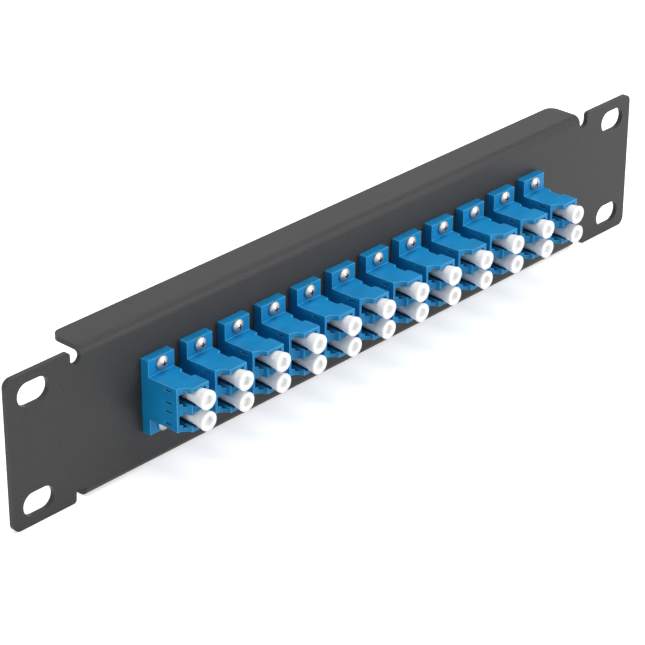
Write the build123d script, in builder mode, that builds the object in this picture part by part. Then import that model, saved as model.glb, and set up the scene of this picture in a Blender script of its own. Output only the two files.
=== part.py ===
from build123d import *
import os

# Frame
# The origin is the middle of the ears' rear face, which lies on the rack posts.
# X runs along the panel, Y runs backwards into the rack, Z is up.

# Panel: one folded steel sheet
panel_width = 254.0
panel_height = 44.0
sheet = 1.5
bend_inner = 1.0
bend_outer = bend_inner + sheet
fold_span = 204.0
fold_depth = 11.6
fold_corner = 3.0
ear_corner = 2.4
relief_width = 3.6
relief_depth = 4.2
relief_corner = 1.0
rack_pitch_x = 236.5
rack_pitch_z = 31.75
ear_slot_length = 10.5
ear_slot_height = 6.8

# Row of adapters
adapter_count = 12
adapter_pitch = 14.0
port_pitch = 6.25

# Adapter housing, two halves welded in the middle of the flange
flange_width = 9.3
flange_height = 22.0
flange_thickness = 2.8
flange_corner = 0.3
body_width = 9.3
body_height = 12.8
body_corner = 0.3
body_half_length = 14.1
mouth_setback = 2.6
mouth_slant_width = 3.2
mouth_hollow = 0.7
web_half = 1.0
axis_offset = 1.4
latch_wall = 0.8

# side steps of the housing: a clip recess, and a slightly slimmer nose
recess_start = 4.1
recess_length = 4.6
recess_shallow = 0.45
recess_deep = 0.6
recess_ramp = 0.5
recess_bevel = 0.65
top_step_start = 9.4
top_step_depth = 0.15
side_step_start = 5.3
side_step_depth = 0.15

# Port: square hole for the plug, keyway for its latch
port_square = 4.7
neck_width = 3.4
neck_reach = 0.85
shoulder_width = 4.5
shoulder_reach = 1.1
window_length = 2.6
window_height = 0.5
window_offset = 1.8
window_inset = 1.9

# Alignment sleeve and the hollow post that holds it
sleeve_diameter = 1.62
sleeve_bore = 1.25
sleeve_length = 6.8
sleeve_slit = 0.3
# the sprung sleeve presses outwards on its bore, so no gap is left there
sleeve_clearance = 0.0
ferrule_hole = 1.4
post_diameter = 2.8
post_lip = 0.5

# Screws and nuts
screw_pitch_z = 18.0
screw_diameter = 2.0
screw_length = 8.0
screw_head_diameter = 3.9
screw_head_height = 1.3
screw_head_edge = 0.55
cross_length = 2.1
cross_width = 0.42
cross_depth = 0.8
cross_taper = 12.0
screw_hole_clearance = 0.1
nut_flats = 4.0
nut_thickness = 1.6
nut_chamfer = 0.25
nut_thread_clearance = 0.0

# Cut-out in the panel
cutout_clearance = 0.1

# Dust cap
cap_stem_clearance = 0.15
cap_post_clearance = 0.3
cap_throat_reach = 3.1
cap_throat_growth = 0.1
cap_head_diameter = 5.5
cap_head_rim = 0.6
cap_head_round = 0.15
cap_projection = 3.2
cap_flare = 0.7
cap_flare_growth = 0.25
cap_dish_depth = 0.15
cap_well_diameter = 2.7
cap_well_depth = 1.3
cap_well_round = 0.3
cap_end_round = 0.2

# Worked out from the values above
seam_y = -sheet - flange_thickness / 2
fold_back_y = fold_depth - sheet
port_depth = body_half_length - web_half
post_length = sleeve_length / 2 + post_lip - web_half
axis_x = axis_offset
screw_hole_diameter = screw_diameter + 2 * screw_hole_clearance
screw_dome_height = screw_head_height - screw_head_edge
screw_dome_radius = (
    (screw_head_diameter / 2) ** 2 + screw_dome_height**2
) / (2 * screw_dome_height)
cap_stem_radius = port_square / 2 - cap_stem_clearance
cap_stem_start = post_length + cap_post_clearance
cap_length = port_depth + cap_projection
adapter_places = [
    (index - (adapter_count - 1) / 2) * adapter_pitch
    for index in range(adapter_count)
]
port_places = [port_pitch / 2, -port_pitch / 2]
screw_places = [screw_pitch_z / 2, -screw_pitch_z / 2]

os.makedirs("parts", exist_ok=True)


# Rack panel
relief_radius = relief_width / 2
relief_x = fold_span / 2 + relief_radius
relief_z = panel_height / 2 - relief_depth + relief_radius
ear_inner_x = fold_span / 2 + relief_width
flat_height = panel_height - 2 * bend_outer

with BuildPart() as rack_panel:
    # channel: front wall with a fold backwards above and below
    with BuildSketch(Plane.YZ):
        with BuildLine():
            Polyline(
                (fold_back_y, panel_height / 2),
                (-sheet, panel_height / 2),
                (-sheet, -panel_height / 2),
                (fold_back_y, -panel_height / 2),
                (fold_back_y, panel_height / 2),
            )
        make_face()
        front_corners = vertices().group_by(Axis.X)[0]
        fillet(front_corners, radius=bend_outer)
        with BuildSketch(Plane.XY, mode=Mode.PRIVATE) as trough:
            with BuildLine():
                Polyline(
                    (fold_depth, panel_height / 2 - sheet),
                    (0, panel_height / 2 - sheet),
                    (0, -panel_height / 2 + sheet),
                    (fold_depth, -panel_height / 2 + sheet),
                    (fold_depth, panel_height / 2 - sheet),
                )
            make_face()
            fillet(vertices().group_by(Axis.X)[0], radius=bend_inner)
        add(trough.sketch, mode=Mode.SUBTRACT)
    extrude(amount=fold_span / 2, both=True)

    # front wall carried on past the folds as two flat ears
    with BuildSketch(Plane.XZ):
        Rectangle(panel_width, flat_height)
        for side in (1, -1):
            ear_width = panel_width / 2 - ear_inner_x
            with Locations((side * (ear_inner_x + ear_width / 2), 0)):
                Rectangle(ear_width, panel_height)
    extrude(amount=sheet)

    # relief notches between the ears and the folds
    with BuildSketch(Plane.XZ):
        for side in (1, -1):
            for end in (1, -1):
                with Locations((side * relief_x, end * relief_z)):
                    Circle(relief_radius)
                with Locations((side * relief_x, end * (relief_z + relief_depth / 2))):
                    Rectangle(relief_width, relief_depth)
    extrude(amount=sheet, mode=Mode.SUBTRACT)

    # rounded corners: free ends of the folds, outer and inner ends of the ears
    fillet(
        rack_panel.edges().filter_by(Axis.Z).group_by(Axis.Y)[-1],
        radius=fold_corner,
    )
    ear_edges = (
        rack_panel.edges()
        .filter_by(Axis.Y)
        .filter_by(lambda edge: abs(edge.center().Z) > panel_height / 2 - sheet / 2)
    )
    outer_edges = ear_edges.filter_by(
        lambda edge: abs(edge.center().X) > panel_width / 2 - sheet / 2
    )
    fillet(outer_edges, radius=ear_corner)
    ear_edges = (
        rack_panel.edges()
        .filter_by(Axis.Y)
        .filter_by(lambda edge: abs(edge.center().Z) > panel_height / 2 - sheet / 2)
    )
    inner_edges = ear_edges.filter_by(
        lambda edge: abs(abs(edge.center().X) - ear_inner_x) < sheet / 4
    )
    fillet(inner_edges, radius=relief_corner)

    # slots for the rack screws
    with BuildSketch(Plane.XZ):
        with GridLocations(rack_pitch_x, rack_pitch_z, 2, 2):
            SlotOverall(ear_slot_length, ear_slot_height)
    extrude(amount=sheet, mode=Mode.SUBTRACT)

    # one window and two screw holes for each adapter
    with BuildSketch(Plane.XZ):
        with GridLocations(adapter_pitch, 0, adapter_count, 1):
            RectangleRounded(
                body_width + 2 * cutout_clearance,
                body_height + 2 * cutout_clearance,
                body_corner,
            )
        with GridLocations(adapter_pitch, screw_pitch_z, adapter_count, 2):
            Circle(screw_hole_diameter / 2)
    extrude(amount=sheet, mode=Mode.SUBTRACT)


# Front half of one adapter, seam plane at y = 0
mouth_left = -body_width / 2
mouth_left_y = -(body_half_length - mouth_setback)
slant_start = (mouth_left, mouth_left_y)
slant_end = (mouth_left + mouth_slant_width, -body_half_length)
slant_length = (mouth_slant_width**2 + mouth_setback**2) ** 0.5
slant_middle = (
    mouth_left + mouth_slant_width / 2 + mouth_hollow * mouth_setback / slant_length,
    mouth_left_y - mouth_setback / 2 + mouth_hollow * mouth_slant_width / slant_length,
)
port_left = axis_x - port_square / 2
neck_left = port_left - neck_reach
shoulder_left = neck_left - shoulder_reach
keyway_left = -body_width / 2 + latch_wall
recess_end = recess_start + recess_length
bevel_left = body_width / 2 - recess_deep - recess_bevel
bevel_end = body_height / 2 - recess_bevel - recess_deep
keyway_width = 2 * (window_offset - window_height / 2) - window_height / 2
sleeve_pocket = sleeve_diameter / 2 + sleeve_clearance

with BuildPart() as half_front:
    with BuildSketch(Plane.XZ):
        RectangleRounded(flange_width, flange_height, flange_corner)
    extrude(amount=flange_thickness / 2)
    with BuildSketch(Plane.XZ):
        RectangleRounded(body_width, body_height, body_corner)
    extrude(amount=body_half_length)

    # slimmer nose on the latch side, clip recess on the other side
    with BuildSketch(Plane.XY):
        with Locations((-body_width / 2, -(side_step_start + body_half_length) / 2)):
            Rectangle(2 * side_step_depth, body_half_length - side_step_start)
        with BuildLine():
            Polyline(
                (body_width, -recess_start),
                (body_width / 2, -recess_start),
                (body_width / 2 - recess_shallow, -recess_start - recess_ramp),
                (body_width / 2 - recess_deep, -recess_end),
                (body_width, -recess_end),
                close=True,
            )
        make_face()
    extrude(amount=body_height, both=True, mode=Mode.SUBTRACT)

    # slanting edges above and below the recess
    with BuildSketch(Plane.XZ.offset(recess_start + recess_ramp)):
        for end in (1, -1):
            with BuildLine():
                Polyline(
                    (bevel_left, end * body_height),
                    (bevel_left, end * body_height / 2),
                    (body_width / 2, end * bevel_end),
                    (body_width, end * body_height),
                    close=True,
                )
            make_face()
    extrude(amount=recess_length - recess_ramp, mode=Mode.SUBTRACT)

    # shallow step across the top and the bottom behind the nose
    with BuildSketch(Plane.YZ):
        for end in (1, -1):
            middle_y = -(flange_thickness / 2 + top_step_start) / 2
            with Locations((middle_y, end * body_height / 2)):
                Rectangle(top_step_start - flange_thickness / 2, 2 * top_step_depth)
    extrude(amount=body_width, both=True, mode=Mode.SUBTRACT)

    # mouth cut back on the latch side with a slanting, slightly hollow edge
    with BuildSketch(Plane.XY):
        with BuildLine():
            ThreePointArc(slant_start, slant_middle, slant_end)
            Polyline(
                slant_end,
                (slant_end[0], -2 * body_half_length),
                (mouth_left - body_width, -2 * body_half_length),
                (mouth_left - body_width, mouth_left_y),
                slant_start,
            )
        make_face()
    extrude(amount=body_height, both=True, mode=Mode.SUBTRACT)

    # two ports, each a square hole with a stepped keyway
    for port_z in port_places:
        with BuildSketch(Plane.XZ.offset(web_half)):
            with Locations((axis_x, port_z)):
                Rectangle(port_square, port_square)
            with Locations(((port_left + neck_left) / 2, port_z)):
                Rectangle(port_left - neck_left, neck_width)
            with Locations(((neck_left + shoulder_left) / 2, port_z)):
                Rectangle(neck_left - shoulder_left, shoulder_width)
            with Locations(((shoulder_left + keyway_left) / 2, port_z)):
                Rectangle(shoulder_left - keyway_left, keyway_width)
        extrude(amount=body_half_length, mode=Mode.SUBTRACT)

    # post for the sleeve in each port
    with BuildSketch(Plane.XZ.offset(web_half)):
        for port_z in port_places:
            with Locations((axis_x, port_z)):
                Circle(post_diameter / 2)
    extrude(amount=post_length)
    with BuildSketch(Plane.XZ):
        for port_z in port_places:
            with Locations((axis_x, port_z)):
                Circle(sleeve_pocket)
    extrude(amount=sleeve_length / 2, mode=Mode.SUBTRACT)
    with BuildSketch(Plane.XZ):
        for port_z in port_places:
            with Locations((axis_x, port_z)):
                Circle(ferrule_hole / 2)
    extrude(amount=web_half + post_length, mode=Mode.SUBTRACT)

    # latch windows through the wall on the latch side
    window_y = mouth_left_y + window_inset + window_length / 2
    with BuildSketch(Plane.YZ.offset(-body_width / 2)):
        for port_z in port_places:
            for end in (1, -1):
                with Locations((window_y, port_z + end * window_offset)):
                    Rectangle(window_length, window_height)
    extrude(amount=neck_left + body_width / 2, mode=Mode.SUBTRACT)

    # holes for the two flange screws
    with BuildSketch(Plane.XZ):
        for screw_z in screw_places:
            with Locations((0, screw_z)):
                Circle(screw_hole_diameter / 2)
    extrude(amount=flange_thickness / 2, mode=Mode.SUBTRACT)

with BuildPart() as half_rear:
    mirror(half_front.part, about=Plane.XZ)

seam_places = [(place, seam_y, 0) for place in adapter_places]

with BuildPart() as adapter_front_housings:
    with Locations(*seam_places):
        add(half_front.part)

with BuildPart() as adapter_rear_housings:
    with Locations(*seam_places):
        add(half_rear.part)


# Split alignment sleeves
with BuildPart() as one_sleeve:
    with BuildSketch(Plane.XZ):
        Circle(sleeve_diameter / 2)
        Circle(sleeve_bore / 2, mode=Mode.SUBTRACT)
        with Locations((0, -sleeve_diameter / 2)):
            Rectangle(sleeve_slit, sleeve_diameter, mode=Mode.SUBTRACT)
    extrude(amount=sleeve_length / 2, both=True)

sleeve_places = [
    (place + axis_x, seam_y, port_z) for place in adapter_places for port_z in port_places
]
with BuildPart() as alignment_sleeves:
    with Locations(*sleeve_places):
        add(one_sleeve.part)


# Screws, head under side at y = 0, pointing backwards
with BuildPart() as one_screw:
    with BuildSketch(Plane.XY):
        with BuildLine():
            Polyline(
                (0, -screw_head_height),
                (0, screw_length),
                (screw_diameter / 2, screw_length),
                (screw_diameter / 2, 0),
                (screw_head_diameter / 2, 0),
                (screw_head_diameter / 2, -screw_head_edge),
            )
            RadiusArc(
                (screw_head_diameter / 2, -screw_head_edge),
                (0, -screw_head_height),
                screw_dome_radius,
            )
        make_face()
    revolve(axis=Axis.Y)
    with BuildSketch(Plane.XZ.offset(screw_head_height)):
        Rectangle(cross_length, cross_width)
        Rectangle(cross_width, cross_length)
    extrude(amount=-cross_depth, taper=cross_taper, mode=Mode.SUBTRACT)
    chamfer(
        one_screw.faces().sort_by(Axis.Y)[-1].edges(),
        length=screw_diameter / 10,
    )

screw_seats = [
    (place, -sheet - flange_thickness, screw_z)
    for place in adapter_places
    for screw_z in screw_places
]
with BuildPart() as flange_screws:
    with Locations(*screw_seats):
        add(one_screw.part)


# Hexagon nuts, lying on the rear face of the panel
with BuildPart() as one_nut:
    with BuildSketch(Plane.XZ):
        RegularPolygon(nut_flats / 2, 6, major_radius=False, rotation=30)
        Circle(screw_diameter / 2 + nut_thread_clearance, mode=Mode.SUBTRACT)
    extrude(amount=-nut_thickness)
    with BuildSketch(Plane.XY):
        with BuildLine():
            Polyline(
                (0, 0),
                (nut_flats / 2, 0),
                (nut_flats / 2 + 2 * nut_chamfer, nut_chamfer),
                (nut_flats / 2 + 2 * nut_chamfer, nut_thickness - nut_chamfer),
                (nut_flats / 2, nut_thickness),
                (0, nut_thickness),
                (0, 0),
            )
        make_face()
    revolve(axis=Axis.Y, mode=Mode.INTERSECT)

nut_seats = [(place, 0, screw_z) for place in adapter_places for screw_z in screw_places]
with BuildPart() as flange_nuts:
    with Locations(*nut_seats):
        add(one_nut.part)


# Dust cap, port floor on y = 0, head towards -Y
throat_start = port_depth - cap_throat_reach
throat_radius = cap_stem_radius + cap_throat_growth
head_back = cap_length - cap_head_rim
head_radius = cap_head_diameter / 2
well_radius = cap_well_diameter / 2

with BuildPart() as one_cap:
    with BuildSketch(Plane.XY):
        with BuildLine():
            Polyline(
                (0, -cap_stem_start),
                (cap_stem_radius - cap_end_round, -cap_stem_start),
                (cap_stem_radius, -cap_stem_start - cap_end_round),
                (cap_stem_radius, -throat_start),
                (throat_radius, -port_depth),
                (throat_radius + cap_flare_growth, -port_depth - cap_flare),
                (head_radius, -head_back),
                (head_radius, -cap_length + cap_head_round),
                (head_radius - cap_head_round, -cap_length),
                (well_radius, -cap_length + cap_dish_depth),
                (well_radius, -cap_length + cap_well_depth - cap_well_round),
                (well_radius - cap_well_round, -cap_length + cap_well_depth),
                (0, -cap_length + cap_well_depth),
                (0, -cap_stem_start),
            )
        make_face()
    revolve(axis=Axis.Y)

with BuildPart() as one_rear_cap:
    mirror(one_cap.part, about=Plane.XZ)


# Labels and files
rack_panel.part.label = "rack_panel"
export_step(rack_panel.part, "parts/rack_panel.step")
adapter_front_housings.part.label = "adapter_front_housings"
export_step(adapter_front_housings.part, "parts/adapter_front_housings.step")
adapter_rear_housings.part.label = "adapter_rear_housings"
export_step(adapter_rear_housings.part, "parts/adapter_rear_housings.step")
alignment_sleeves.part.label = "alignment_sleeves"
export_step(alignment_sleeves.part, "parts/alignment_sleeves.step")
flange_screws.part.label = "flange_screws"
export_step(flange_screws.part, "parts/flange_screws.step")
flange_nuts.part.label = "flange_nuts"
export_step(flange_nuts.part, "parts/flange_nuts.step")

row_names = ["upper", "lower"]
cap_kinds = [
    ("front_cap", one_cap.part, seam_y - web_half),
    ("rear_cap", one_rear_cap.part, seam_y + web_half),
]
for kind, shape, seat_y in cap_kinds:
    for index, place in enumerate(adapter_places):
        for row_name, port_z in zip(row_names, port_places):
            seat = Location((place + axis_x, seat_y, port_z))
            cap = shape.moved(seat)
            cap.label = f"{kind}_{index + 1:02d}_{row_name}"
            export_step(cap, f"parts/{cap.label}.step")
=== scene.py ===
"""Dresses a ten-inch fibre patch panel: folded steel front, blue duplex adapters, white dust caps."""

import math

import bmesh
import bpy
from bpy.props import FloatProperty, FloatVectorProperty, IntProperty, PointerProperty
from bpy.types import Operator, Panel, PropertyGroup
from mathutils import Matrix, Vector


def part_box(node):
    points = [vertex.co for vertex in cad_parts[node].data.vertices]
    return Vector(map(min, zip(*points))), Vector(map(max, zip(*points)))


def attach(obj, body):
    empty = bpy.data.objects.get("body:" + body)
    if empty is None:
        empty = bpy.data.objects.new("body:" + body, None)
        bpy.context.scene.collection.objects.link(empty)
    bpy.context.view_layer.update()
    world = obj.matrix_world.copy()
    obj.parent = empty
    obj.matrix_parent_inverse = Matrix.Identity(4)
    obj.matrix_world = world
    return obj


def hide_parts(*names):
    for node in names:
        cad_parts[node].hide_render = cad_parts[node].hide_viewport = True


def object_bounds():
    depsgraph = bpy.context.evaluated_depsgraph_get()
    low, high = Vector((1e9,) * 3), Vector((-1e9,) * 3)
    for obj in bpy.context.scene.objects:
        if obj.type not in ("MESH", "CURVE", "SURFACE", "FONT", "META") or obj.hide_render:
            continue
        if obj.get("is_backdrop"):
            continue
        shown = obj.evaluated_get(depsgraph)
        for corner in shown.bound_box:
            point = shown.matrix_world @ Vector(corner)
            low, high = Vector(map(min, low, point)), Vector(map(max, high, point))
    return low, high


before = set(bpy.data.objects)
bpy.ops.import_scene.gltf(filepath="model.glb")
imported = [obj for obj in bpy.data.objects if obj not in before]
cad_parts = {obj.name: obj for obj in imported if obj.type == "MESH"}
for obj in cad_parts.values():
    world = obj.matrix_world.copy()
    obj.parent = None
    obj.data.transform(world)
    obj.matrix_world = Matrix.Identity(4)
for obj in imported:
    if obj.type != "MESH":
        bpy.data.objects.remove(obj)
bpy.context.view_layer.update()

bl_info = {
    "name": "Fibre patch panel",
    "version": (1, 0, 0),
    "blender": (4, 5, 0),
    "location": "View3D > Sidebar > Patch panel",
    "description": "Builds the visible pieces of a fibre patch panel around its solid model",
    "category": "Object",
}

MM = 0.001
PANEL_LOW, PANEL_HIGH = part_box("rack_panel")
ROWS = ("upper", "lower")

# cap between the mouth and the head: millimetres out of the mouth, growth over the stem's radius
CAP_FLARE = ((0.0, 0.10), (0.3, 0.18), (0.75, 0.28), (1.3, 0.31), (1.8, 0.36), (2.2, 0.46))

# name, place in metres, width in metres, power in watts
LAMPS = (
    ("top_softbox", (0.15, 0.05, 1.15), 1.0, 8.6),
    ("front_softbox", (0.40, -1.15, 0.30), 0.9, 9.0),
    ("left_softbox", (-1.25, 0.0, 0.25), 0.6, 3.8),
    ("bend_softbox", (0.78, -0.62, 0.66), 0.4, 1.9),
    ("rear_softbox", (-0.20, 1.25, 0.40), 0.9, 5.0),
)


# Property helpers


def length(name, description, default):
    return FloatProperty(
        name=name,
        description=description,
        default=default,
        min=0.0,
        precision=5,
        unit="LENGTH",
        subtype="DISTANCE",
    )


def colour(name, description, default):
    return FloatVectorProperty(
        name=name,
        description=description,
        default=default,
        size=3,
        min=0.0,
        max=1.0,
        subtype="COLOR",
    )


class PatchPanelSheet(PropertyGroup):
    width: length("Width", "Across both ears", PANEL_HIGH[0] - PANEL_LOW[0])
    height: length("Height", "One rack unit", PANEL_HIGH[2] - PANEL_LOW[2])
    depth: length("Fold depth", "Front face to the folds' rear edge", PANEL_HIGH[1] - PANEL_LOW[1])
    sheet: length("Sheet", "Steel thickness", 1.5 * MM)
    bend: length("Bend radius", "Outside of each fold", 2.5 * MM)
    fold_span: length("Fold span", "Length of both folds", 204.0 * MM)
    corner: length("Fold corner", "Free ends of the folds", 3.0 * MM)
    ear_corner: length("Ear corner", "Outer ends of the ears", 2.4 * MM)
    relief_width: length("Relief width", "Notch between ear and fold", 3.6 * MM)
    relief_depth: length("Relief depth", "Notch between ear and fold", 4.2 * MM)
    slot_pitch_x: length("Slot pitch across", "Ten-inch rack", 236.5 * MM)
    slot_pitch_z: length("Slot pitch up", "Ten-inch rack", 31.75 * MM)
    slot_length: length("Slot length", "Ear slot, end to end", 10.5 * MM)
    slot_height: length("Slot height", "Ear slot", 6.8 * MM)
    edge: length("Edge rounding", "Coated sheet edge", 0.22 * MM)


class PatchPanelAdapter(PropertyGroup):
    count: IntProperty(name="Adapters", description="Adapters in the row", default=12, min=1)
    pitch: length("Pitch", "Adapter to adapter", 14.0 * MM)
    port_pitch: length("Port pitch", "Upper port to lower port", 6.25 * MM)
    flange_height: length("Flange height", "Screw flange", 22.0 * MM)
    flange_thickness: length("Flange thickness", "Both halves together", 2.8 * MM)
    width: length("Width", "Housing and flange", 9.3 * MM)
    height: length("Height", "Housing body", 12.8 * MM)
    reach: length("Reach", "Flange middle to mouth", 14.1 * MM)
    setback: length("Mouth setback", "Latch side of the mouth", 2.6 * MM)
    slant: length("Mouth slant", "Width of the slanting edge", 3.2 * MM)
    hollow: length("Mouth hollow", "Dip of the slanting edge", 0.7 * MM)
    axis: length("Axis offset", "Ports sit off centre, away from the latch", 1.4 * MM)
    web: length("Half web", "Wall between front and rear ports, halved", 1.0 * MM)
    port: length("Port", "Square hole", 4.7 * MM)
    neck: length("Neck", "Keyway neck, out from the port", 0.85 * MM)
    neck_rise: length("Neck rise", "Half height of the keyway neck", 1.7 * MM)
    shoulder: length("Shoulder", "Keyway shoulder, out from the port", 1.95 * MM)
    shoulder_rise: length("Shoulder rise", "Half height of the shoulder", 2.25 * MM)
    keyway_rise: length("Keyway rise", "Half height behind the latch wall", 1.425 * MM)
    latch_wall: length("Latch wall", "Wall on the latch side", 0.8 * MM)
    window_inset: length("Window inset", "Latch windows, in from the mouth", 1.9 * MM)
    window_length: length("Window length", "Latch windows", 2.6 * MM)
    window_height: length("Window height", "Latch windows", 0.5 * MM)
    window_offset: length("Window offset", "Latch windows, from the port's middle", 1.8 * MM)
    top_step: length("Top step", "Lower surface behind the nose", 0.15 * MM)
    top_step_end: length("Top step end", "From the seam", 9.4 * MM)
    slim: length("Slim nose", "Latch side of the nose", 0.15 * MM)
    slim_start: length("Slim nose start", "From the seam", 4.7 * MM)
    slim_full: length("Slim nose end", "From the seam to its full depth", 5.9 * MM)
    recess_start: length("Recess start", "From the seam", 4.1 * MM)
    recess_ramp: length("Recess ramp", "From the seam to the ramp's end", 4.6 * MM)
    recess_end: length("Recess end", "From the seam", 8.7 * MM)
    recess_shallow: length("Recess shallow end", "Depth after the ramp", 0.45 * MM)
    recess_deep: length("Recess deep end", "Depth at its end", 0.6 * MM)
    recess_slope: length("Recess slope", "Slanting edges above and below", 0.65 * MM)
    post: length("Post radius", "Hollow post round the sleeve", 1.4 * MM)
    post_reach: length("Post reach", "From the seam", 3.9 * MM)
    post_lip: length("Post lip", "Lip that holds the sleeve", 0.5 * MM)
    pocket: length("Pocket radius", "Bore for the sleeve", 0.83 * MM)
    ferrule: length("Ferrule hole radius", "Hole through the lip", 0.7 * MM)
    edge: length("Edge rounding", "Moulded edges", 0.18 * MM)


class PatchPanelFastener(PropertyGroup):
    pitch: length("Screw pitch", "Upper screw to lower screw", 18.0 * MM)
    hole: length("Hole radius", "Clearance hole", 1.1 * MM)
    shank: length("Shank radius", "Screw shank", 1.0 * MM)
    head: length("Head radius", "Pan head", 1.95 * MM)
    head_height: length("Head height", "Pan head", 1.3 * MM)
    head_edge: length("Head edge", "Straight part under the dome", 0.55 * MM)
    cross: length("Cross length", "Half length of the recess", 1.15 * MM)
    cross_width: length("Cross width", "Half width of the recess", 0.26 * MM)
    cross_depth: length("Cross depth", "Depth of the recess", 0.8 * MM)
    cross_taper: FloatProperty(
        name="Cross taper", description="Size at the floor of the recess", default=0.62
    )
    screw_length: length("Screw length", "Under the head", 8.0 * MM)
    thread: length("Thread pitch", "Groove to groove", 0.4 * MM)
    thread_depth: length("Thread depth", "Grooves", 0.16 * MM)
    tip: length("Tip chamfer", "End of the screw", 0.25 * MM)


class PatchPanelCap(PropertyGroup):
    head: length("Head radius", "Round head", 2.75 * MM)
    rim: length("Rim", "Thickness of the head's edge", 0.6 * MM)
    stem: length("Stem radius", "Inside the port", 2.2 * MM)
    start: length("Stem start", "Port floor to the stem's end", 3.2 * MM)
    projection: length("Projection", "Head in front of the mouth", 3.2 * MM)
    well: length("Well radius", "Blind hole in the head", 1.35 * MM)
    well_depth: length("Well depth", "Blind hole in the head", 1.3 * MM)


class PatchPanelFinish(PropertyGroup):
    coat: colour("Powder coat", "Folded steel panel", (0.036, 0.036, 0.036))
    coat_fleck: colour("Powder coat fleck", "Lighter specks in the coat", (0.062, 0.062, 0.062))
    blue: colour("Blue plastic", "Adapter housings", (0.005, 0.242, 0.540))
    # painted highlight: colour that the rounded edges of the housings are lightened towards
    blue_edge_highlight: colour("Blue plastic edge", "Painted highlight on the edges", (0.16, 0.58, 0.88))
    cap_white: colour("Cap plastic", "Dust caps", (0.90, 0.90, 0.90))
    steel: colour("Plated steel", "Screws and nuts", (0.50, 0.495, 0.49))
    ceramic: colour("Ceramic", "Alignment sleeves", (0.82, 0.80, 0.74))


class PatchPanelStage(PropertyGroup):
    azimuth: FloatProperty(
        name="Azimuth", description="Camera round the panel, degrees", default=-47.184
    )
    elevation: FloatProperty(
        name="Elevation", description="Camera above the panel, degrees", default=27.463
    )
    roll: FloatProperty(name="Roll", description="Camera roll, degrees", default=0.175)
    distance: length("Distance", "Camera to the point it looks at", 720.267 * MM)
    lens: FloatProperty(name="Lens", description="Focal length for a 36 mm sensor", default=144.31)
    aim: FloatVectorProperty(
        name="Aim",
        description="Point that the camera looks at",
        default=(-12.564 * MM, -1.5 * MM, -4.832 * MM),
        size=3,
        precision=5,
        unit="LENGTH",
        subtype="TRANSLATION",
    )
    room: FloatProperty(name="Room light", description="Even light from all round", default=0.27, min=0.0)
    floor_lift: FloatProperty(
        name="Floor lift",
        description="Keeps the floor white where it is seen or mirrored",
        default=0.55,
        min=0.0,
    )
    floor_white: colour("Floor", "Plain pale floor", (0.90, 0.90, 0.90))


# Mesh helpers


def block(bm, low, high):
    low, high = Vector(low), Vector(high)
    made = bmesh.ops.create_cube(bm, size=1.0)["verts"]
    bmesh.ops.scale(bm, vec=high - low, verts=made)
    bmesh.ops.translate(bm, vec=(low + high) / 2, verts=made)
    return made


def prism(bm, outline, along):
    corners = [bm.verts.new(Vector(point)) for point in outline]
    face = bm.faces.new(corners)
    grown = bmesh.ops.extrude_face_region(bm, geom=[face])["geom"]
    tips = [item for item in grown if isinstance(item, bmesh.types.BMVert)]
    bmesh.ops.translate(bm, vec=Vector(along), verts=tips)
    return corners + tips


def rod(bm, centre, radius, depth, segments=32, stretch=0.0):
    """Round bar along Y, drawn out sideways where a slot is wanted."""
    place = (
        Matrix.Translation(Vector(centre))
        @ Matrix.Rotation(math.pi / 2, 4, "X")
        @ Matrix.Rotation(math.pi / segments, 4, "Z")
    )
    made = bmesh.ops.create_cone(
        bm,
        cap_ends=True,
        segments=segments,
        radius1=radius,
        radius2=radius,
        depth=depth,
        matrix=place,
    )["verts"]
    if stretch:
        for side in (1, -1):
            half = [v for v in made if (v.co.x - centre[0]) * side > 0]
            bmesh.ops.translate(bm, vec=(side * stretch, 0, 0), verts=half)
    return made


def turned(bm, profile, centre, segments=48):
    """Closed solid of revolution about the Y axis; profile holds (radius, y) pairs."""
    chain = [bm.verts.new((radius, y, 0.0)) for radius, y in profile]
    edges = [bm.edges.new(pair) for pair in zip(chain, chain[1:])]
    if profile[0][0] > 0 and profile[-1][0] > 0:
        edges.append(bm.edges.new((chain[-1], chain[0])))
    bmesh.ops.spin(
        bm,
        geom=chain + edges,
        cent=(0, 0, 0),
        axis=(0, 1, 0),
        angle=2 * math.pi,
        steps=segments,
        use_merge=True,
        use_duplicate=False,
    )
    bmesh.ops.remove_doubles(bm, verts=bm.verts, dist=1e-7)
    bmesh.ops.recalc_face_normals(bm, faces=bm.faces)
    bmesh.ops.translate(bm, vec=Vector(centre), verts=bm.verts)


def in_order(bm):
    """Sorts a mesh by place, so that every run builds on it alike."""
    across = Vector((1.0, math.sqrt(2), math.sqrt(3)))
    bm.verts.sort(key=lambda vert: across.dot(vert.co))
    bm.edges.sort(key=lambda edge: across.dot(edge.verts[0].co + edge.verts[1].co))
    bm.faces.sort(key=lambda face: across.dot(face.calc_center_median()))


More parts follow.
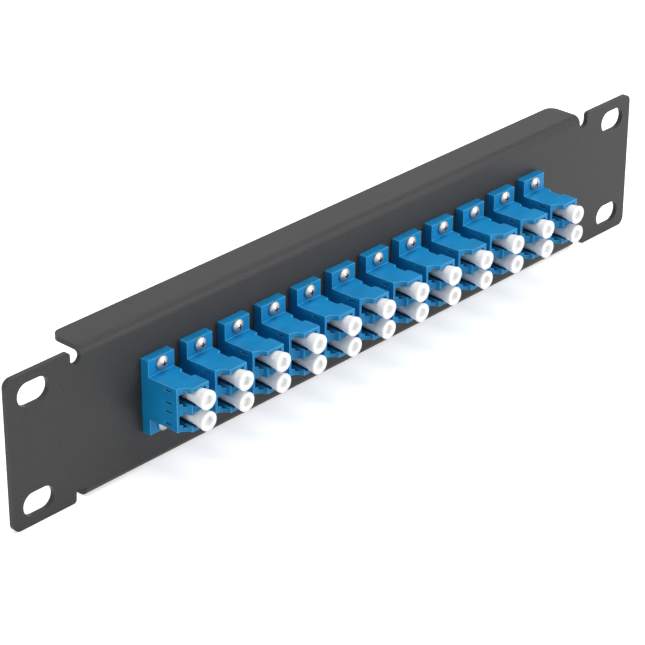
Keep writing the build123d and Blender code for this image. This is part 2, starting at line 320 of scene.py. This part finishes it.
def carve(base, cutter, operation="DIFFERENCE"):
    """Base and cutter are bmeshes; the result comes back as a new one."""
    pair = []
    for shape in (base, cutter):
        bmesh.ops.recalc_face_normals(shape, faces=shape.faces)
        mesh = bpy.data.meshes.new("carving")
        shape.to_mesh(mesh)
        shape.free()
        item = bpy.data.objects.new("carving", mesh)
        bpy.context.scene.collection.objects.link(item)
        pair.append(item)
    work, tool = pair
    modifier = work.modifiers.new("carve", "BOOLEAN")
    modifier.object = tool
    modifier.operation = operation
    modifier.solver = "EXACT"
    graph = bpy.context.evaluated_depsgraph_get()
    result = bpy.data.meshes.new_from_object(work.evaluated_get(graph))
    out = bmesh.new()
    out.from_mesh(result)
    for item in pair:
        mesh = item.data
        bpy.data.objects.remove(item)
        bpy.data.meshes.remove(mesh)
    bpy.data.meshes.remove(result)
    bmesh.ops.remove_doubles(out, verts=out.verts, dist=2e-6)
    in_order(out)
    bmesh.ops.dissolve_limit(
        out, angle_limit=math.radians(0.5), verts=out.verts, edges=out.edges
    )
    in_order(out)
    return out


def soften(bm, width, segments=2, angle=30.0, chosen=None):
    """Rounds sharp edges and marks the new faces, so that a finish can paint a highlight on them."""
    mark = bm.faces.layers.float.get("painted_edge_highlight") or bm.faces.layers.float.new("painted_edge_highlight")
    edges = chosen
    if edges is None:
        edges = [
            edge
            for edge in bm.edges
            if len(edge.link_faces) == 2 and edge.calc_face_angle() > math.radians(angle)
        ]
    made = bmesh.ops.bevel(
        bm,
        geom=edges,
        offset=width,
        offset_type="OFFSET",
        segments=segments,
        profile=0.5,
        affect="EDGES",
        material=-1,
        clamp_overlap=True,
    )
    if chosen is None:
        for face in made["faces"]:
            face[mark] = 1.0


def edges_at(bm, test):
    return [edge for edge in bm.edges if test((edge.verts[0].co + edge.verts[1].co) / 2, edge)]


def along(edge, axis):
    step = edge.verts[1].co - edge.verts[0].co
    return abs(step[axis]) > 0.99 * step.length


def repeated(pattern, places):
    """One bmesh with a copy of the pattern at each place."""
    mesh = bpy.data.meshes.new("pattern")
    pattern.to_mesh(mesh)
    pattern.free()
    out = bmesh.new()
    for place in places:
        before = len(out.verts)
        out.from_mesh(mesh)
        out.verts.ensure_lookup_table()
        bmesh.ops.translate(out, vec=Vector(place), verts=out.verts[before:])
    bpy.data.meshes.remove(mesh)
    return out


def piece(name, bm, material, body, nodes, crease=32.0, weighted=True):
    mesh = bpy.data.meshes.new(name)
    bm.to_mesh(mesh)
    bm.free()
    mesh.materials.append(material)
    mesh.shade_smooth()
    mesh.set_sharp_from_angle(angle=math.radians(crease))
    item = bpy.data.objects.new(name, mesh)
    bpy.context.scene.collection.objects.link(item)
    if weighted:
        modifier = item.modifiers.new("even shading", "WEIGHTED_NORMAL")
        modifier.keep_sharp = True
    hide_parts(*nodes)
    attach(item, body)
    return item


def adapter_places(adapter):
    middle = (adapter.count - 1) / 2
    return [(index - middle) * adapter.pitch for index in range(adapter.count)]


def seam_depth(settings):
    return -settings.sheet.sheet - settings.adapter.flange_thickness / 2


# Material helpers


def finish(name):
    made = bpy.data.materials.new(name)
    made.use_nodes = True
    tree = made.node_tree
    shader = tree.nodes["Principled BSDF"]
    return made, tree, shader


def add_node(tree, kind, **values):
    made = tree.nodes.new(kind)
    for key, value in values.items():
        if key in made.inputs:
            made.inputs[key].default_value = value
        else:
            setattr(made, key, value)
    return made


def noise(tree, scale, detail=4.0, rough=0.6, squash=(1.0, 1.0, 1.0)):
    where = add_node(tree, "ShaderNodeTexCoord")
    turn = add_node(tree, "ShaderNodeMapping")
    turn.inputs["Scale"].default_value = squash
    made = add_node(tree, "ShaderNodeTexNoise")
    made.inputs["Scale"].default_value = scale
    made.inputs["Detail"].default_value = detail
    made.inputs["Roughness"].default_value = rough
    tree.links.new(where.outputs["Object"], turn.inputs["Vector"])
    tree.links.new(turn.outputs["Vector"], made.inputs["Vector"])
    return made.outputs["Fac"]


def spread(tree, source, low, high, to_low, to_high):
    made = add_node(tree, "ShaderNodeMapRange")
    made.inputs["From Min"].default_value = low
    made.inputs["From Max"].default_value = high
    made.inputs["To Min"].default_value = to_low
    made.inputs["To Max"].default_value = to_high
    tree.links.new(source, made.inputs["Value"])
    return made.outputs["Result"]


def blend_colours(tree, factor, first, second):
    made = add_node(tree, "ShaderNodeMix", data_type="RGBA")
    tree.links.new(factor, made.inputs[0])
    for socket, value in ((made.inputs[6], first), (made.inputs[7], second)):
        if hasattr(value, "is_linked"):
            tree.links.new(value, socket)
        else:
            socket.default_value = (*value, 1.0)
    return made.outputs[2]


def bumps(tree, shader, heights):
    """Chains (source, strength, distance) bumps into the shader's normal."""
    last = None
    for source, strength, distance in heights:
        made = add_node(tree, "ShaderNodeBump")
        made.inputs["Strength"].default_value = strength
        made.inputs["Distance"].default_value = distance
        tree.links.new(source, made.inputs["Height"])
        if last:
            tree.links.new(last, made.inputs["Normal"])
        last = made.outputs["Normal"]
    tree.links.new(last, shader.inputs["Normal"])


# mask of the rounded edge faces that get a painted highlight
def painted_highlight_mask(tree):
    return add_node(tree, "ShaderNodeAttribute", attribute_name="painted_edge_highlight").outputs["Fac"]


def times(tree, first, second):
    made = add_node(tree, "ShaderNodeMath", operation="MULTIPLY")
    tree.links.new(first, made.inputs[0])
    if hasattr(second, "is_linked"):
        tree.links.new(second, made.inputs[1])
    else:
        made.inputs[1].default_value = second
    return made.outputs[0]


def background_shown(tree):
    """One where a ray sees or mirrors the background, nought where it only lights the object."""
    ray = add_node(tree, "ShaderNodeLightPath")
    shown = ray.outputs["Is Camera Ray"]
    for kind in ("Is Glossy Ray", "Is Transmission Ray"):
        made = add_node(tree, "ShaderNodeMath", operation="MAXIMUM")
        tree.links.new(shown, made.inputs[0])
        tree.links.new(ray.outputs[kind], made.inputs[1])
        shown = made.outputs[0]
    return shown


def powder_coat(colours):
    made, tree, shader = finish("black_powder_coat")
    grain = noise(tree, 2600.0, 3.0, 0.7)
    cloud = noise(tree, 35.0, 3.0, 0.5)
    fleck = spread(tree, grain, 0.50, 0.72, 0.0, 1.0)
    base = blend_colours(tree, fleck, colours.coat, colours.coat_fleck)
    shade = spread(tree, cloud, 0.3, 0.7, 0.0, 0.12)
    darker = tuple(value * 0.7 for value in colours.coat)
    tree.links.new(blend_colours(tree, shade, base, darker), shader.inputs["Base Color"])
    tree.links.new(spread(tree, grain, 0.3, 0.7, 0.36, 0.50), shader.inputs["Roughness"])
    shader.inputs["Specular IOR Level"].default_value = 0.20
    bumps(tree, shader, [(grain, 0.55, 0.00006), (noise(tree, 700.0, 2.0), 0.25, 0.00010)])
    return made


def blue_plastic(colours):
    made, tree, shader = finish("blue_plastic")
    cloud = noise(tree, 160.0, 3.0, 0.5)
    grain = noise(tree, 5200.0, 2.0, 0.6)
    deeper = tuple(value * 0.82 for value in colours.blue)
    body = blend_colours(tree, spread(tree, cloud, 0.3, 0.7, 0.0, 1.0), colours.blue, deeper)
    # painted highlight: the rounded edges are lightened towards the edge colour
    highlight_amount = times(tree, painted_highlight_mask(tree), spread(tree, cloud, 0.3, 0.7, 0.7, 1.0))
    tree.links.new(blend_colours(tree, highlight_amount, body, colours.blue_edge_highlight), shader.inputs["Base Color"])
    tree.links.new(spread(tree, grain, 0.3, 0.7, 0.34, 0.48), shader.inputs["Roughness"])
    shader.inputs["Specular IOR Level"].default_value = 0.22
    bumps(tree, shader, [(grain, 0.25, 0.00002)])
    return made


def cap_plastic(colours):
    made, tree, shader = finish("white_cap_plastic")
    cloud = noise(tree, 400.0, 2.0, 0.5)
    warm = (colours.cap_white[0] * 0.97, colours.cap_white[1] * 0.96, colours.cap_white[2] * 0.94)
    tree.links.new(
        blend_colours(tree, spread(tree, cloud, 0.35, 0.65, 0.0, 1.0), colours.cap_white, warm),
        shader.inputs["Base Color"],
    )
    grain = noise(tree, 3000.0, 2.0, 0.6)
    tree.links.new(spread(tree, grain, 0.3, 0.7, 0.38, 0.50), shader.inputs["Roughness"])
    shader.inputs["Subsurface Weight"].default_value = 0.6
    shader.inputs["Subsurface Radius"].default_value = (1.0, 1.0, 1.0)
    shader.inputs["Subsurface Scale"].default_value = 0.0025
    shader.inputs["Specular IOR Level"].default_value = 0.30
    bumps(tree, shader, [(grain, 0.12, 0.00002)])
    return made


def plated_steel(colours):
    made, tree, shader = finish("plated_steel")
    streak = noise(tree, 1800.0, 3.0, 0.6, (1.0, 0.25, 1.0))
    dull = tuple(value * 0.75 for value in colours.steel)
    # painted shade: the walls and floor of the cross recess are darkened to this colour
    painted_recess_shade = tuple(value * 0.34 for value in colours.steel)
    dome = blend_colours(tree, spread(tree, streak, 0.35, 0.7, 0.0, 1.0), colours.steel, dull)
    recess = add_node(tree, "ShaderNodeAttribute", attribute_name="recess").outputs["Fac"]
    tree.links.new(blend_colours(tree, recess, dome, painted_recess_shade), shader.inputs["Base Color"])
    shader.inputs["Metallic"].default_value = 1.0
    tree.links.new(spread(tree, streak, 0.3, 0.7, 0.38, 0.52), shader.inputs["Roughness"])
    dents = noise(tree, 1500.0, 1.0, 0.4)
    bumps(tree, shader, [(streak, 0.25, 0.00003), (dents, 0.6, 0.00006)])
    return made


def ceramic(colours):
    made, tree, shader = finish("white_ceramic")
    cloud = noise(tree, 600.0, 2.0, 0.5)
    warm = tuple(value * 0.93 for value in colours.ceramic)
    tree.links.new(
        blend_colours(tree, cloud, colours.ceramic, warm), shader.inputs["Base Color"]
    )
    tree.links.new(spread(tree, cloud, 0.3, 0.7, 0.12, 0.2), shader.inputs["Roughness"])
    return made


def material(name):
    """The named finish, made once."""
    found = bpy.data.materials.get(name)
    if found and found.get("patch_panel_finish"):
        return found
    makers = {
        "black_powder_coat": powder_coat,
        "blue_plastic": blue_plastic,
        "white_cap_plastic": cap_plastic,
        "plated_steel": plated_steel,
        "white_ceramic": ceramic,
    }
    if found:
        found.name = name + "_plain"
    made = makers[name](bpy.context.scene.patch_panel_finish)
    made["patch_panel_finish"] = True
    return made


class Settings:
    """All the sizes of the scene, by group."""

    def __init__(self, scene):
        self.sheet = scene.patch_panel_sheet
        self.adapter = scene.patch_panel_adapter
        self.fastener = scene.patch_panel_fastener
        self.cap = scene.patch_panel_cap


# Pieces


class PATCHPANEL_OT_sheet(Operator):
    """Fold the steel panel: front wall, ears, folds, notches, slots and windows"""

    bl_idname = "patchpanel.sheet"
    bl_label = "Folded steel panel"

    def execute(self, context):
        use = Settings(context.scene)
        s, a, f = use.sheet, use.adapter, use.fastener
        half_w, half_h, span = s.width / 2, s.height / 2, s.fold_span / 2
        back = s.depth - s.sheet
        inner = half_h - s.sheet

        # folded channel
        channel = bmesh.new()
        outline = [
            (back, half_h), (-s.sheet, half_h), (-s.sheet, -half_h), (back, -half_h),
            (back, -inner), (0, -inner), (0, inner), (back, inner),
        ]
        prism(channel, [(-span, y, z) for y, z in outline], (2 * span, 0, 0))
        outside = edges_at(
            channel,
            lambda p, e: along(e, 0) and p.y < -s.sheet / 2,
        )
        soften(channel, s.bend, 10, chosen=outside)
        inside = edges_at(
            channel,
            lambda p, e: along(e, 0) and abs(p.y) < s.sheet / 10 and abs(abs(p.z) - inner) < s.sheet / 10,
        )
        soften(channel, s.bend - s.sheet, 6, chosen=inside)
        ends = edges_at(channel, lambda p, e: along(e, 2) and p.y > back - s.sheet / 10)
        soften(channel, s.corner, 8, chosen=ends)

        # flat wall with ears and relief notches
        wall = bmesh.new()
        block(wall, (-half_w, -s.sheet, -half_h), (half_w, 0, half_h))
        soften(wall, s.ear_corner, 8, chosen=edges_at(wall, lambda p, e: along(e, 1)))
        ear = span + s.relief_width
        radius = s.relief_width / 2
        floor = half_h - s.relief_depth + radius
        cutter = bmesh.new()
        for end in (1, -1):
            low, high = sorted((end * floor, end * (half_h + s.sheet)))
            block(cutter, (-ear, -2 * s.sheet, low), (ear, s.sheet, high))
        wall = carve(wall, cutter)
        cutter = bmesh.new()
        for side in (1, -1):
            for end in (1, -1):
                rod(cutter, (side * (span + radius), -s.sheet / 2, end * floor), radius, 4 * s.sheet)
        wall = carve(wall, cutter)
        soften(
            wall,
            1.0 * MM,
            4,
            chosen=edges_at(
                wall,
                lambda p, e: along(e, 1) and abs(abs(p.x) - ear) < s.sheet / 4
                and abs(p.z) > half_h - s.sheet / 4,
            ),
        )
        sheet = carve(wall, channel, "UNION")

        # rack slots, adapter windows and screw holes
        cutter = bmesh.new()
        for side in (1, -1):
            for end in (1, -1):
                rod(
                    cutter,
                    (side * s.slot_pitch_x / 2, -s.sheet / 2, end * s.slot_pitch_z / 2),
                    s.slot_height / 2,
                    4 * s.sheet,
                    48,
                    (s.slot_length - s.slot_height) / 2,
                )
        gap = 0.1 * MM
        for place in adapter_places(a):
            block(
                cutter,
                (place - a.width / 2 - gap, -2 * s.sheet, -a.height / 2 - gap),
                (place + a.width / 2 + gap, s.sheet, a.height / 2 + gap),
            )
            for end in (1, -1):
                rod(cutter, (place, -s.sheet / 2, end * f.pitch / 2), f.hole, 4 * s.sheet, 24)
        sheet = carve(sheet, cutter)
        soften(sheet, s.edge, 2, 40.0)
        piece(
            "folded_panel", sheet, material("black_powder_coat"),
            "panel", ["rack_panel"],
        )
        return {"FINISHED"}


def port_outline(a, port_z, depth):
    """Square hole with its stepped keyway, seen from the mouth."""
    half = a.port / 2
    left = a.axis - half
    steps = [
        (left - a.neck, a.neck_rise),
        (left - a.shoulder, a.shoulder_rise),
        (-a.width / 2 + a.latch_wall, a.keyway_rise),
    ]
    upper = [(a.axis + half, half), (left, half)]
    last = left
    for reach, rise in steps:
        upper += [(last, rise), (reach, rise)]
        last = reach
    lower = [(x, -z) for x, z in reversed(upper)]
    return [(x, depth, port_z + z) for x, z in upper + lower]


def mouth_outline(a):
    """Cut across the latch side of the mouth, seen from above, with a slightly hollow slant."""
    left, far = -a.width, -2 * a.reach
    knee, chord = -a.width / 2, math.hypot(a.slant, a.setback)
    outline = [(left, -a.reach + a.setback)]
    for part in range(9):
        here = part / 8
        dip = a.hollow * (1 - (2 * here - 1) ** 2)
        outline.append((
            knee + a.slant * here + dip * a.setback / chord,
            -a.reach + a.setback * (1 - here) + dip * a.slant / chord,
        ))
    return outline + [(knee + a.slant, far), (left, far)]


def cut_through(shell, outline, tall):
    """Cuts an outline, seen from above, through the full height."""
    cutter = bmesh.new()
    prism(cutter, [(x, y, -tall) for x, y in outline], (0, 0, 2 * tall))
    return carve(shell, cutter)


def sleeve_post(a, port_z):
    """Hollow post round one sleeve, as a mesh."""
    post = bmesh.new()
    root, lip, tip = -a.web + 0.1 * MM, a.post_lip - a.post_reach, -a.post_reach
    profile = [
        (a.pocket, root), (a.post, root), (a.post, tip + 0.15 * MM), (a.post - 0.15 * MM, tip),
        (a.ferrule + 0.08 * MM, tip), (a.ferrule, tip + 0.08 * MM), (a.ferrule, lip), (a.pocket, lip),
    ]
    turned(post, profile, (a.axis, 0, port_z), 32)
    mesh = bpy.data.meshes.new("post")
    post.to_mesh(mesh)
    post.free()
    return mesh


def half_housing(a, f):
    """Front half of one adapter about its seam, flange to mouth."""
    thick, half_h, half_w = a.flange_thickness / 2, a.height / 2, a.width / 2
    low, tall = half_h - a.top_step, a.flange_height
    side = [
        (0, a.flange_height / 2), (-thick, a.flange_height / 2), (-thick, low),
        (-a.top_step_end, low), (-a.top_step_end, half_h), (-a.reach, half_h),
    ]
    outline = side + [(y, -z) for y, z in reversed(side)]
    shell = bmesh.new()
    prism(shell, [(-half_w, y, z) for y, z in outline], (a.width, 0, 0))

    # screw holes, and the slimmer nose on the latch side
    cutter = bmesh.new()
    for end in (1, -1):
        rod(cutter, (0, 0, end * f.pitch / 2), f.hole, 4 * a.flange_thickness, 24)
    shell = carve(shell, cutter)
    slim, far = -half_w + a.slim, -2 * a.reach
    nose = [
        (-a.width, -a.slim_start), (-half_w, -a.slim_start), (slim, -a.slim_full),
        (slim, far), (-a.width, far),
    ]
    shell = cut_through(shell, nose, tall)

    # clip recess with slanting edges above and below
    shallow, deep = half_w - a.recess_shallow, half_w - a.recess_deep
    recess = [
        (a.width, -a.recess_start), (half_w, -a.recess_start), (shallow, -a.recess_ramp),
        (deep, -a.recess_end), (a.width, -a.recess_end),
    ]
    shell = cut_through(shell, recess, tall)
    for end in (1, -1):
        cutter = bmesh.new()
        corner = [
            (deep - a.recess_slope, a.height), (deep - a.recess_slope, half_h),
            (half_w, half_h - a.recess_slope - a.recess_deep), (a.width, a.height),
        ]
        start, run = -a.recess_ramp, a.recess_ramp - a.recess_end
        prism(cutter, [(x, start, end * z) for x, z in corner], (0, run, 0))
        shell = carve(shell, cutter)

    # mouth, ports and latch windows
    shell = cut_through(shell, mouth_outline(a), tall)
    cutter = bmesh.new()
    for end in (1, -1):
        prism(cutter, port_outline(a, end * a.port_pitch / 2, -a.web), (0, far, 0))
    shell = carve(shell, cutter)
    cutter = bmesh.new()
    window_y = -a.reach + a.setback + a.window_inset
    for end in (1, -1):
        for side in (1, -1):
            z = end * a.port_pitch / 2 + side * a.window_offset
            block(
                cutter,
                (-a.width, window_y, z - a.window_height / 2),
                (-half_w + 2 * a.latch_wall, window_y + a.window_length, z + a.window_height / 2),
            )
    shell = carve(shell, cutter)

    # soft edges, marked for a painted highlight; those inside a port and on the seam stay plain
    soften(shell, a.edge, 2, 40.0)
    mark = shell.faces.layers.float["painted_edge_highlight"]
    for face in shell.faces:
        middle = face.calc_center_median()
        off_axis = max(abs(middle.x - a.axis), abs(abs(middle.z) - a.port_pitch / 2))
        if middle.y > -2 * a.edge or off_axis < a.port / 2 - a.edge:
            face[mark] = 0.0

    for end in (1, -1):
        mesh = sleeve_post(a, end * a.port_pitch / 2)
        shell.from_mesh(mesh)
        bpy.data.meshes.remove(mesh)
    return shell


class PATCHPANEL_OT_housings(Operator):
    """Mould the front and rear halves of every adapter housing"""

    bl_idname = "patchpanel.housings"
    bl_label = "Adapter housings"

    def execute(self, context):
        use = Settings(context.scene)
        a, f = use.adapter, use.fastener
        seats = [(place, seam_depth(use), 0) for place in adapter_places(a)]
        for name, node, flip in (
            ("front_housings", "adapter_front_housings", False),
            ("rear_housings", "adapter_rear_housings", True),
        ):
            half = half_housing(a, f)
            if flip:
                bmesh.ops.scale(half, vec=(1, -1, 1), verts=half.verts)
                bmesh.ops.reverse_faces(half, faces=half.faces)
            row = repeated(half, seats)
            piece(name, row, material("blue_plastic"), "panel", [node])
        return {"FINISHED"}


class PATCHPANEL_OT_screws(Operator):
    """Turn the flange screws, with domed heads, cross recesses and threads"""

    bl_idname = "patchpanel.screws"
    bl_label = "Flange screws"

    def execute(self, context):
        use = Settings(context.scene)
        a, f = use.adapter, use.fastener
        tall, crown = f.head_height, f.head_height - f.head_edge
        dome = (f.head**2 + crown**2) / (2 * crown)
        reach = math.asin(f.head / dome)
        profile = [(0.0, -tall)]
        for step in range(1, 7):
            turn = reach * step / 6
            profile.append((dome * math.sin(turn), -tall + dome * (1 - math.cos(turn))))
        profile += [(f.head, -0.06 * MM), (f.head - 0.06 * MM, 0.0), (f.shank, 0.0)]
        start = 2 * f.thread
        grooves = int((f.screw_length - start - f.thread) / f.thread)
        for number in range(grooves):
            y = start + number * f.thread
            profile += [(f.shank, y), (f.shank - f.thread_depth, y + f.thread / 2)]
        profile += [
            (f.shank, start + grooves * f.thread), (f.shank, f.screw_length - f.tip),
            (f.shank - f.tip, f.screw_length), (0.0, f.screw_length),
        ]
        one = bmesh.new()
        turned(one, profile, (0, 0, 0), 32)
        for wide, high in ((f.cross, f.cross_width), (f.cross_width, f.cross)):
            cutter = bmesh.new()
            block(cutter, (-wide, -2 * tall, -high), (wide, -tall + f.cross_depth, high))
            floor = [v for v in cutter.verts if v.co.y > -tall]
            bmesh.ops.scale(cutter, vec=(f.cross_taper, 1, f.cross_taper), verts=floor)
            one = carve(one, cutter)

        # the walls and floor of the cross are marked for a painted shade, darker than the dome
        mark = one.faces.layers.float.new("recess")
        for face in one.faces:
            middle = face.calc_center_median()
            in_head = middle.y < 0 and math.hypot(middle.x, middle.z) < f.cross
            wall = abs(face.normal.y) < 0.5
            floor = middle.y > -tall + 0.9 * f.cross_depth
            face[mark] = float(in_head and (wall or floor))
        seats = [
            (place, -use.sheet.sheet - a.flange_thickness, end * f.pitch / 2)
            for place in adapter_places(a)
            for end in (1, -1)
        ]
        row = repeated(one, seats)
        piece(
            "pan_head_screws", row, material("plated_steel"),
            "panel", ["flange_screws"],
        )
        return {"FINISHED"}


class PATCHPANEL_OT_caps(Operator):
    """Mould the white dust caps, one for each port, front and rear"""

    bl_idname = "patchpanel.caps"
    bl_label = "Dust caps"

    def execute(self, context):
        use = Settings(context.scene)
        a, c = use.adapter, use.cap
        deep = a.reach - a.web
        tip = deep + c.projection
        back, floor = tip - c.rim, tip - c.well_depth
        profile = [
            (0.0, c.start), (c.stem - 0.2 * MM, c.start), (c.stem - 0.06 * MM, c.start + 0.06 * MM),
            (c.stem, c.start + 0.2 * MM), (c.stem, deep - 3.1 * MM), (c.stem + 0.02 * MM, deep - 2.0 * MM),
        ]
        profile += [(c.stem + grown * MM, deep + out * MM) for out, grown in CAP_FLARE]
        profile += [
            (c.head - 0.01 * MM, back), (c.head, back + 0.15 * MM), (c.head, tip - 0.17 * MM),
            (c.head - 0.05 * MM, tip - 0.05 * MM), (c.head - 0.17 * MM, tip),
            (c.well + 0.14 * MM, tip - 0.12 * MM), (c.well + 0.04 * MM, tip - 0.17 * MM),
            (c.well, tip - 0.28 * MM), (c.well, floor + 0.3 * MM),
            (c.well - 0.08 * MM, floor + 0.1 * MM), (c.well - 0.3 * MM, floor), (0.0, floor),
        ]
        skin = material("white_cap_plastic")
        for side, direction in (("front", -1), ("rear", 1)):
            for index, place in enumerate(adapter_places(a)):
                for row, end in zip(ROWS, (1, -1)):
                    name = f"{side}_cap_{index + 1:02d}_{row}"
                    cap = bmesh.new()
                    seat = (
                        place + a.axis,
                        seam_depth(use) + direction * a.web,
                        end * a.port_pitch / 2,
                    )
                    turned(cap, [(r, direction * y) for r, y in profile], seat, 40)
                    piece(
                        name + "_skin", cap, skin, name, [name], 50.0, False,
                    )
        return {"FINISHED"}


class PATCHPANEL_OT_small_parts(Operator):
    """Finish the nuts and the alignment sleeves, which keep their solid shapes"""

    bl_idname = "patchpanel.small_parts"
    bl_label = "Nuts and sleeves"

    def execute(self, context):
        for node, name in (
            ("flange_nuts", "plated_steel"),
            ("alignment_sleeves", "white_ceramic"),
        ):
            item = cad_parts[node]
            for place in item.material_slots:
                place.material = material(name)
        return {"FINISHED"}


class PATCHPANEL_OT_stage(Operator):
    """Lay the pale floor, hang the soft lamps and set the camera"""

    bl_idname = "patchpanel.stage"
    bl_label = "Floor, lamps and camera"

    def execute(self, context):
        scene = context.scene
        stage = scene.patch_panel_stage
        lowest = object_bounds()[0][2]

        bm = bmesh.new()
        bmesh.ops.create_grid(bm, x_segments=1, y_segments=1, size=6.0)
        bmesh.ops.translate(bm, vec=(0, 0, lowest - 0.02 * MM), verts=bm.verts)
        mesh = bpy.data.meshes.new("floor")
        bm.to_mesh(mesh)
        bm.free()
        floor = bpy.data.objects.new("floor", mesh)
        scene.collection.objects.link(floor)
        mesh.materials.append(self.floor_finish(stage))
        floor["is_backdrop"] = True

        world = bpy.data.worlds.new("studio")
        world.use_nodes = True
        scene.world = world
        tree = world.node_tree
        tree.nodes.clear()
        out = add_node(tree, "ShaderNodeOutputWorld")
        room = add_node(tree, "ShaderNodeBackground")
        room.inputs["Color"].default_value = (1, 1, 1, 1)
        room.inputs["Strength"].default_value = stage.room
        white = add_node(tree, "ShaderNodeBackground")
        white.inputs["Color"].default_value = (1, 1, 1, 1)
        mix = add_node(tree, "ShaderNodeMixShader")
        tree.links.new(background_shown(tree), mix.inputs["Fac"])
        tree.links.new(room.outputs[0], mix.inputs[1])
        tree.links.new(white.outputs[0], mix.inputs[2])
        tree.links.new(mix.outputs[0], out.inputs["Surface"])

        for name, place, size, power in LAMPS:
            data = bpy.data.lights.new(name, "AREA")
            data.shape = "DISK"
            data.size = size
            data.energy = power
            lamp = bpy.data.objects.new(name, data)
            lamp.location = place
            lamp.rotation_euler = (-Vector(place)).to_track_quat("-Z", "Y").to_euler()
            scene.collection.objects.link(lamp)

        azimuth, elevation = math.radians(stage.azimuth), math.radians(stage.elevation)
        back = Vector((
            math.sin(azimuth) * math.cos(elevation),
            -math.cos(azimuth) * math.cos(elevation),
            math.sin(elevation),
        ))
        right = Vector((math.cos(azimuth), math.sin(azimuth), 0.0))
        up = back.cross(right)
        roll = math.radians(stage.roll)
        across = math.cos(roll) * right + math.sin(roll) * up
        above = math.cos(roll) * up - math.sin(roll) * right
        data = bpy.data.cameras.new("camera")
        data.sensor_width = 36.0
        data.lens = stage.lens
        data.clip_start, data.clip_end = 0.01, 20.0
        camera = bpy.data.objects.new("camera", data)
        scene.collection.objects.link(camera)
        turn = Matrix((across, above, back)).transposed().to_4x4()
        camera.matrix_world = Matrix.Translation(Vector(stage.aim) + back * stage.distance) @ turn
        scene.camera = camera
        scene.view_settings.view_transform = "Standard"
        return {"FINISHED"}

    def floor_finish(self, stage):
        made, tree, shader = finish("pale_floor")
        grain = noise(tree, 3.0, 2.0, 0.5)
        dimmer = tuple(value * 0.985 for value in stage.floor_white)
        tree.links.new(
            blend_colours(tree, grain, stage.floor_white, dimmer), shader.inputs["Base Color"]
        )
        shader.inputs["Roughness"].default_value = 0.9
        shader.inputs["Specular IOR Level"].default_value = 0.1
        glow = add_node(tree, "ShaderNodeEmission")
        glow.inputs["Color"].default_value = (1, 1, 1, 1)
        lift = times(tree, background_shown(tree), stage.floor_lift)
        tree.links.new(lift, glow.inputs["Strength"])
        both = add_node(tree, "ShaderNodeAddShader")
        out = tree.nodes["Material Output"]
        tree.links.new(shader.outputs[0], both.inputs[0])
        tree.links.new(glow.outputs[0], both.inputs[1])
        tree.links.new(both.outputs[0], out.inputs["Surface"])
        return made


STEPS = (
    PATCHPANEL_OT_sheet,
    PATCHPANEL_OT_housings,
    PATCHPANEL_OT_screws,
    PATCHPANEL_OT_caps,
    PATCHPANEL_OT_small_parts,
    PATCHPANEL_OT_stage,
)


class PATCHPANEL_PT_sidebar(Panel):
    """Lists the steps that build the patch panel"""

    bl_label = "Fibre patch panel"
    bl_idname = "PATCHPANEL_PT_sidebar"
    bl_space_type = "VIEW_3D"
    bl_region_type = "UI"
    bl_category = "Patch panel"

    def draw(self, context):
        for step in STEPS:
            self.layout.operator(step.bl_idname)
        for group in GROUPS:
            box = self.layout.box()
            held = getattr(context.scene, group)
            for key in held.bl_rna.properties.keys():
                if key not in ("rna_type", "name"):
                    box.prop(held, key)


GROUPS = {
    "patch_panel_sheet": PatchPanelSheet,
    "patch_panel_adapter": PatchPanelAdapter,
    "patch_panel_fastener": PatchPanelFastener,
    "patch_panel_cap": PatchPanelCap,
    "patch_panel_finish": PatchPanelFinish,
    "patch_panel_stage": PatchPanelStage,
}


def register():
    for name, group in GROUPS.items():
        bpy.utils.register_class(group)
        setattr(bpy.types.Scene, name, PointerProperty(type=group))
    for step in STEPS:
        bpy.utils.register_class(step)
    bpy.utils.register_class(PATCHPANEL_PT_sidebar)


def unregister():
    bpy.utils.unregister_class(PATCHPANEL_PT_sidebar)
    for step in reversed(STEPS):
        bpy.utils.unregister_class(step)
    for name, group in reversed(GROUPS.items()):
        delattr(bpy.types.Scene, name)
        bpy.utils.unregister_class(group)


def main():
    register()
    bpy.ops.patchpanel.sheet()
    bpy.ops.patchpanel.housings()
    bpy.ops.patchpanel.screws()
    bpy.ops.patchpanel.caps()
    bpy.ops.patchpanel.small_parts()
    bpy.ops.patchpanel.stage()


if __name__ == "__main__":
    main()
